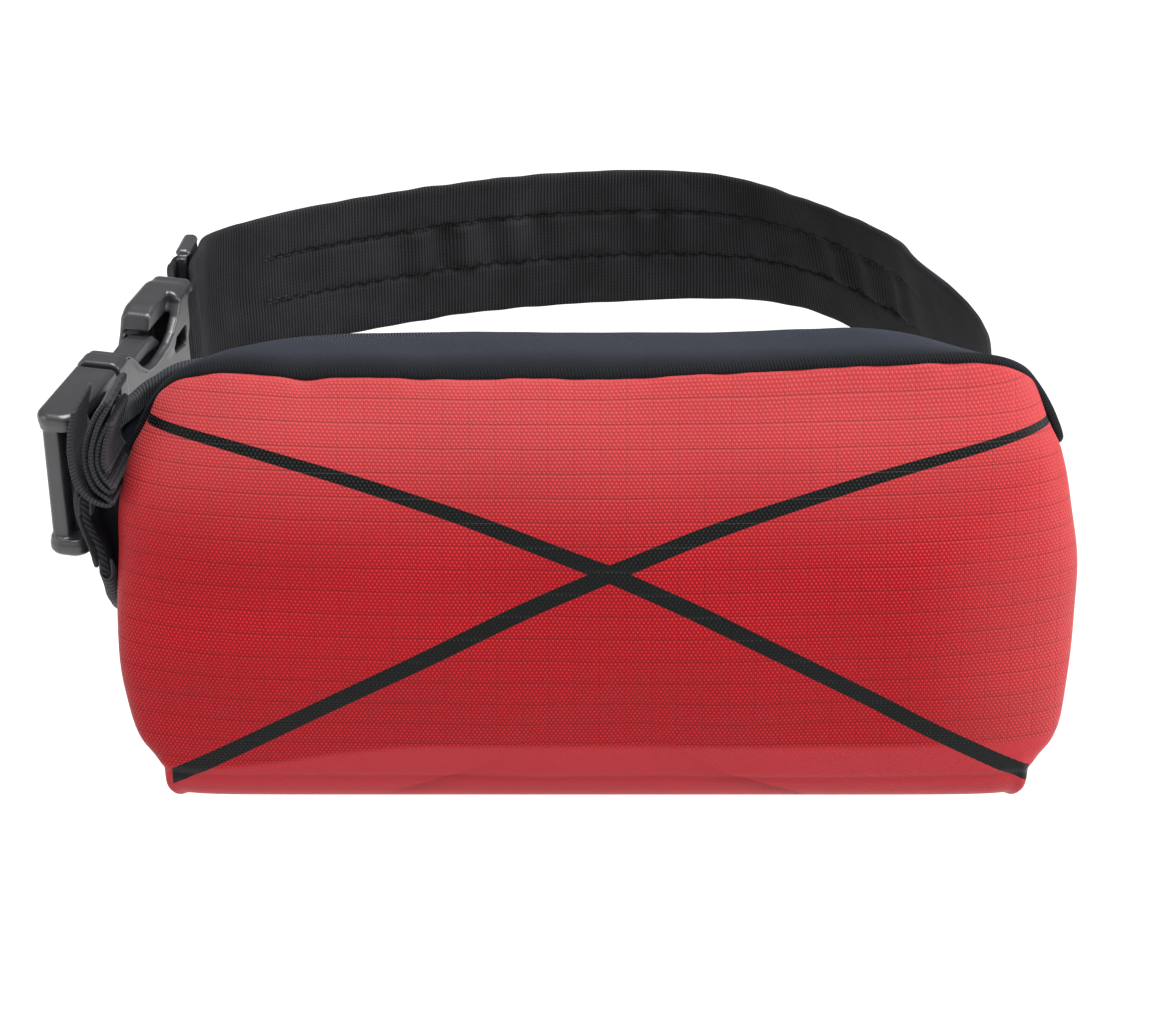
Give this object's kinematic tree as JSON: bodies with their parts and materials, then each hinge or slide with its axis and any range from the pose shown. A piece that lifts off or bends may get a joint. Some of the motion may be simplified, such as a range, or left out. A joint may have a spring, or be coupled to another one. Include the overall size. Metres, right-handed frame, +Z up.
{
  "type": "inflatable belt pack",
  "caption": "Soft waist pouch with a turned red fabric cover and a foam top, on a wide elastic belt that closes with a side-release buckle.",
  "frame": {"origin": "centre of the waist opening, at the height of the belt's middle", "axes": "+X to the right seen from the front, where the buckle is on the -X side, +Y from the pouch to the wearer's back, +Z up"},
  "size_m": [0.3224, 0.237, 0.1451],
  "materials": {
    "shell_fabric": "laminated ripstop weave, slight sheen",
    "knit_foam": "fine rib knit on foam",
    "webbing": "woven webbing and elastic",
    "buckle_plastic": "moulded, softly polished"
  },
  "bodies": {
    "root": {"front_cover": "shell_fabric", "top_panel": "knit_foam", "back_panel": "knit_foam", "wing_left": "knit_foam", "side_strap": "webbing", "belt_band": "webbing", "band_strip": "webbing", "buckle_male": "buckle_plastic", "buckle_female": "buckle_plastic", "slide_adjuster": "buckle_plastic"}
  },
  "joints": []
}
